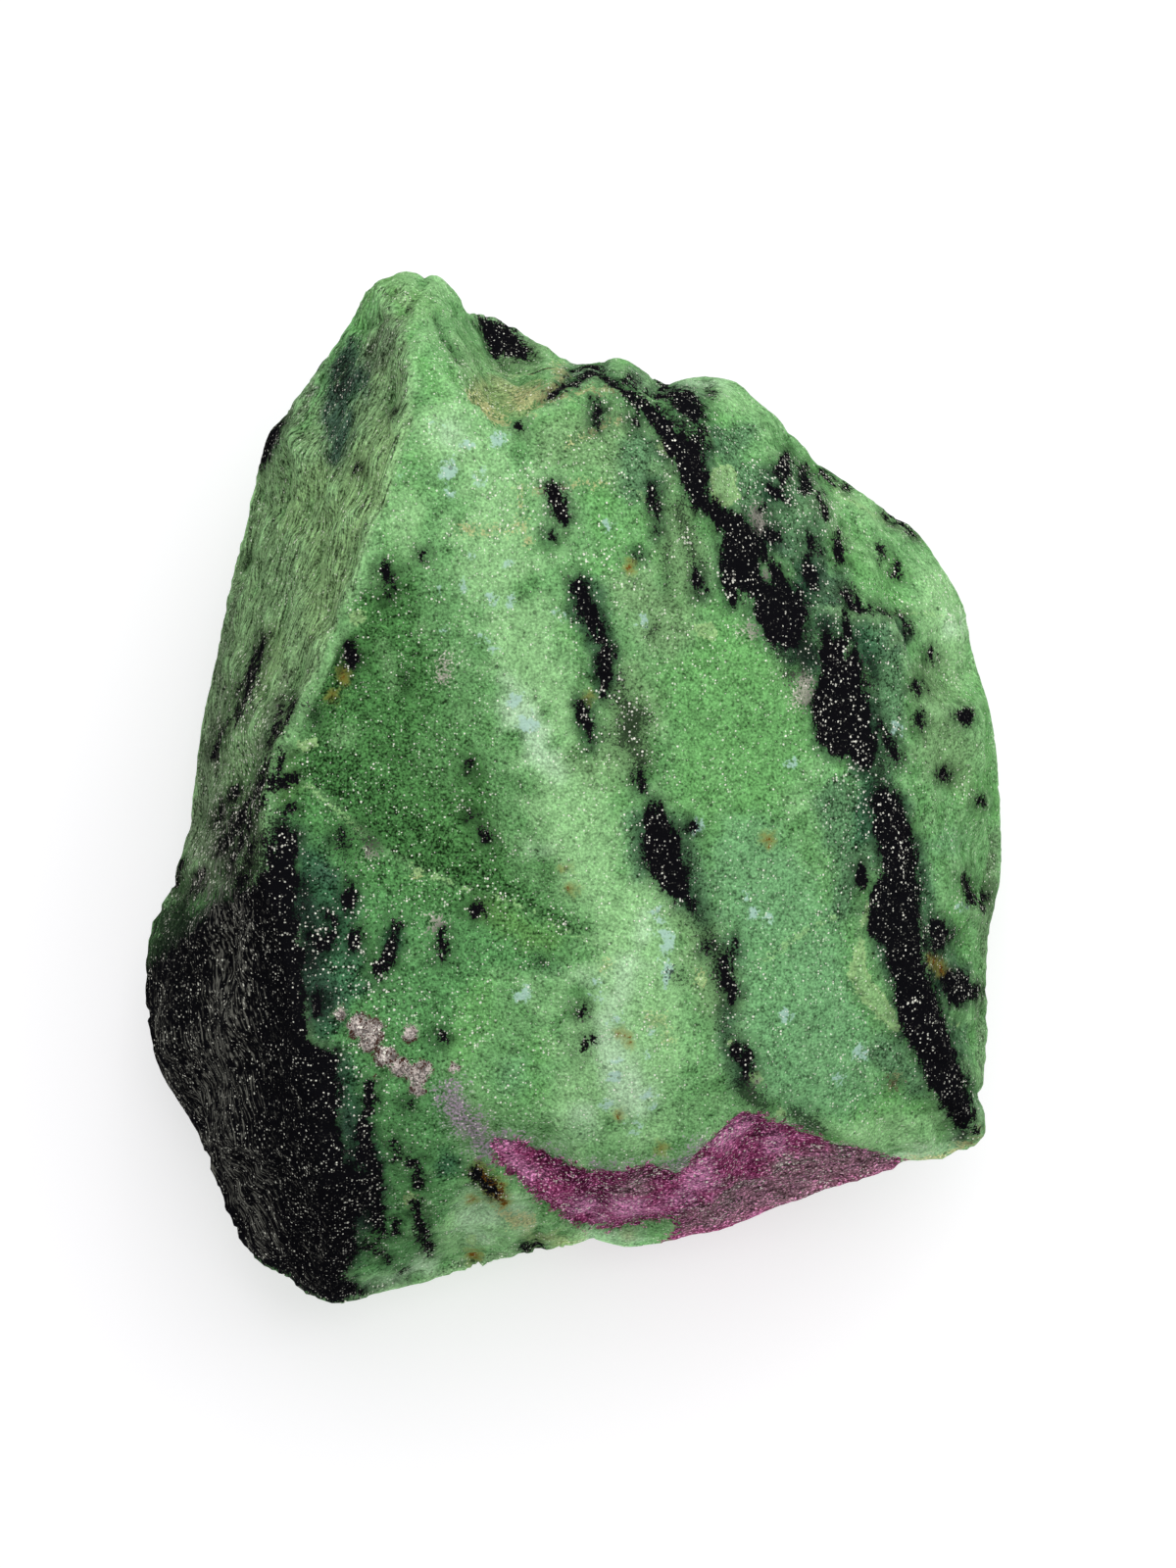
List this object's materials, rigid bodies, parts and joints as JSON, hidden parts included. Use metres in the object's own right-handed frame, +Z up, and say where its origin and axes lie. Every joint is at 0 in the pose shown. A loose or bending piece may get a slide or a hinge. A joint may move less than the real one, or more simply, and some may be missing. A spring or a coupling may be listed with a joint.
{
  "type": "rough ruby in zoisite stone",
  "caption": "Rough broken piece of green zoisite with black hornblende bands and a patch of purple-red ruby, lying on its flat broken base.",
  "frame": {"origin": "centre of the footprint on the ground, under the middle of the stone's box", "axes": "+Z up from the face the stone rests on, +Y along the stone towards its pointed end, +X across it away from the steep striated flank"},
  "size_m": [0.05, 0.06, 0.035],
  "materials": {
    "zoisite": "satin"
  },
  "bodies": {
    "root": {"ruby_in_zoisite": "zoisite"}
  },
  "joints": []
}
